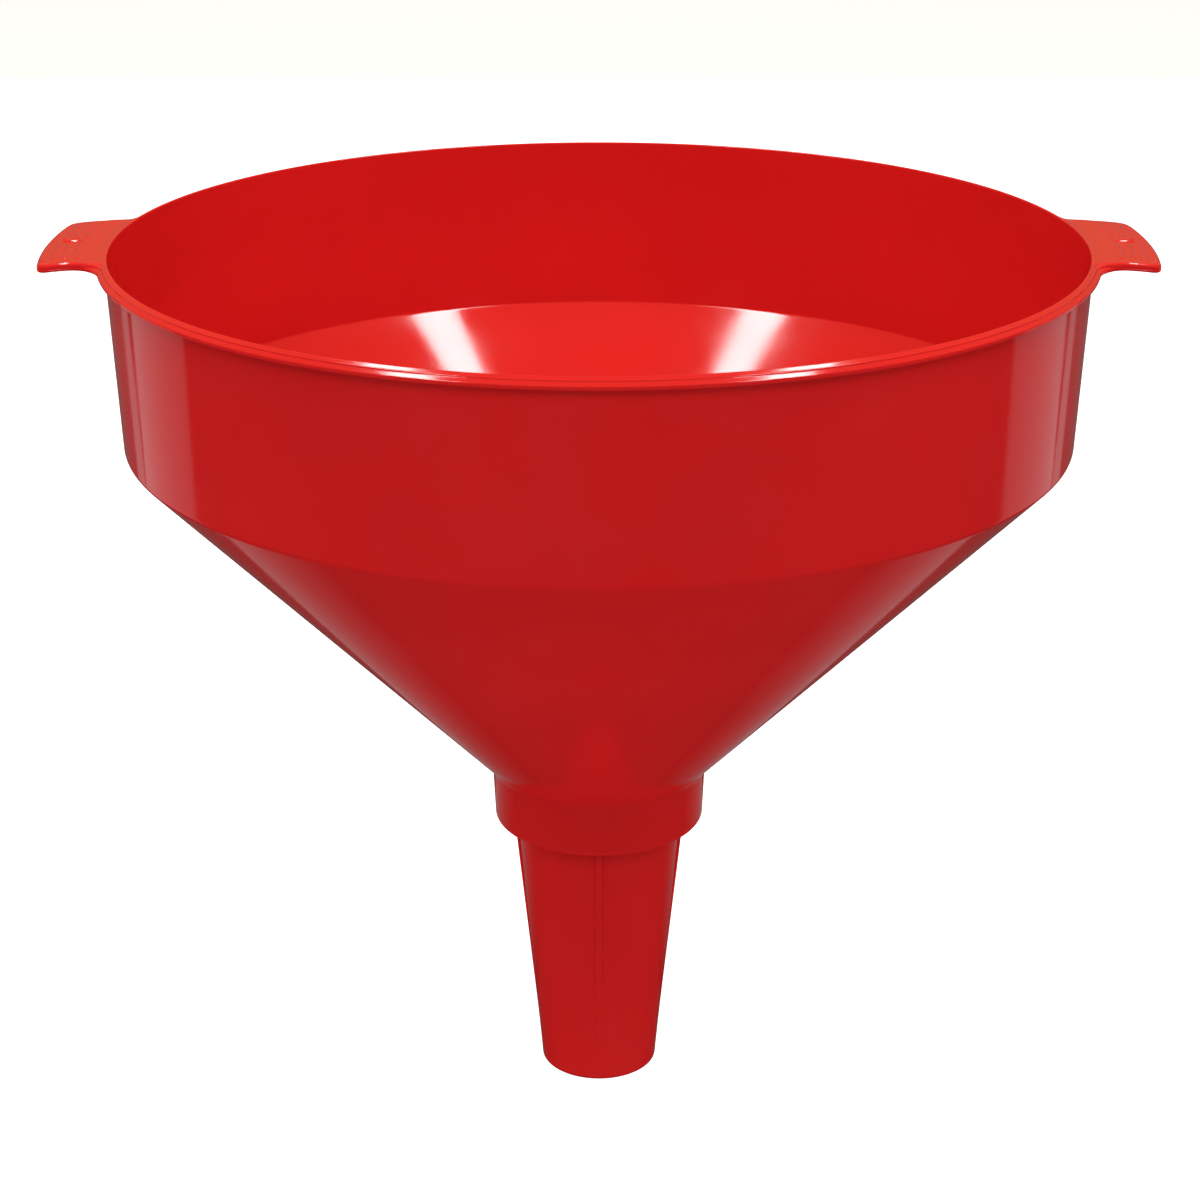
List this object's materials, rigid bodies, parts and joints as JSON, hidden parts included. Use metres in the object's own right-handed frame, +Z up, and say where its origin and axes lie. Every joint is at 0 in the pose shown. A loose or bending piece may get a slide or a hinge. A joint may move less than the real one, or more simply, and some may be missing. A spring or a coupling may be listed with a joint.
{
  "type": "funnel",
  "caption": "Wide pouring funnel with ribbed ear grips, upright wall, steep cone, stepped collar, tapered spout with vent ribs and a lift-out gauze strainer.",
  "frame": {"origin": "centre of the spout's outlet face, where the funnel ends in the opening that it is set into", "axes": "+Z up the funnel's axis from the spout to the rim, +X through the middle of one ear grip, -Y the side that the picture looks from"},
  "size_m": [0.446, 0.3998, 0.3756],
  "materials": {
    "red_plastic": "glossy",
    "brass_gauze": "satin"
  },
  "bodies": {
    "funnel": {"bowl": "red_plastic", "spout": "red_plastic"},
    "strainer": {"strainer_frame": "red_plastic", "strainer_gauze": "brass_gauze", "gauze_clamp_ring": "red_plastic"}
  },
  "joints": [
    {"name": "strainer_lift", "type": "slide", "parent": "funnel", "child": "strainer", "axis": [0, 0, 1], "range_m": [0, 0.27]}
  ]
}
